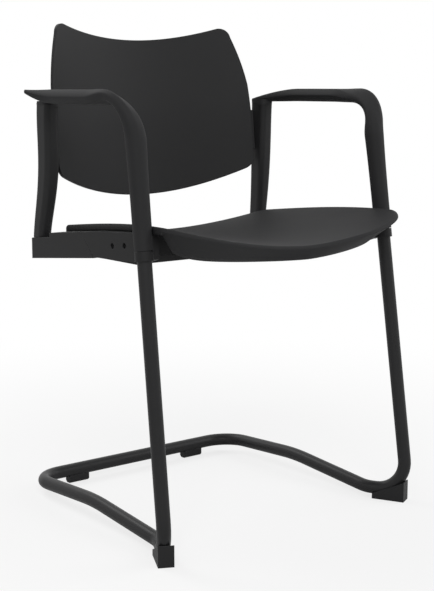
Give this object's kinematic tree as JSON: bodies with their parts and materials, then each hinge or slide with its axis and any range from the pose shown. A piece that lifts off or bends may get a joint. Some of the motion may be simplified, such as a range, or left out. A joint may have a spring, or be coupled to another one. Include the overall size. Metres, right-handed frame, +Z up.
{
  "type": "conference chair",
  "caption": "Conference chair with fixed loop arms, a dished seat shell and a curved back shell on a cantilever sled frame of bent round tube.",
  "frame": {"origin": "on the floor under the middle of the chair's box", "axes": "+Z up; the sitter faces -Y; +X is to the sitter's left, across the chair"},
  "size_m": [0.5662, 0.4871, 0.8007],
  "materials": {
    "frame_steel": "satin black powder coat",
    "rail_casting": "matt black powder coat on cast aluminium",
    "shell_plastic": "finely grained matt black polypropylene",
    "black_plastic": "matt black moulded polyamide",
    "glide_plastic": "smooth black polyethylene",
    "pad_rubber": "soft black rubber",
    "screw_steel": "blackened steel"
  },
  "bodies": {
    "root": {"arm_left": "black_plastic", "arm_pins": "screw_steel", "arm_right": "black_plastic", "back_post_left": "black_plastic", "back_post_right": "black_plastic", "back_screws": "screw_steel", "back_shell": "shell_plastic", "cover_screws_left": "screw_steel", "cover_screws_right": "screw_steel", "cross_member_bolts": "screw_steel", "cross_member_front": "frame_steel", "cross_member_rear": "frame_steel", "front_foot_glide_left": "glide_plastic", "front_foot_glide_right": "glide_plastic", "post_bolts": "screw_steel", "rear_foot_glide_left": "glide_plastic", "rear_foot_glide_right": "glide_plastic", "seat_pads": "pad_rubber", "seat_screws": "screw_steel", "seat_shell": "shell_plastic", "side_cover_left": "black_plastic", "side_cover_right": "black_plastic", "side_rail_left": "rail_casting", "side_rail_right": "rail_casting", "sled_frame": "frame_steel", "tube_plug_left": "black_plastic", "tube_plug_right": "black_plastic"}
  },
  "joints": []
}
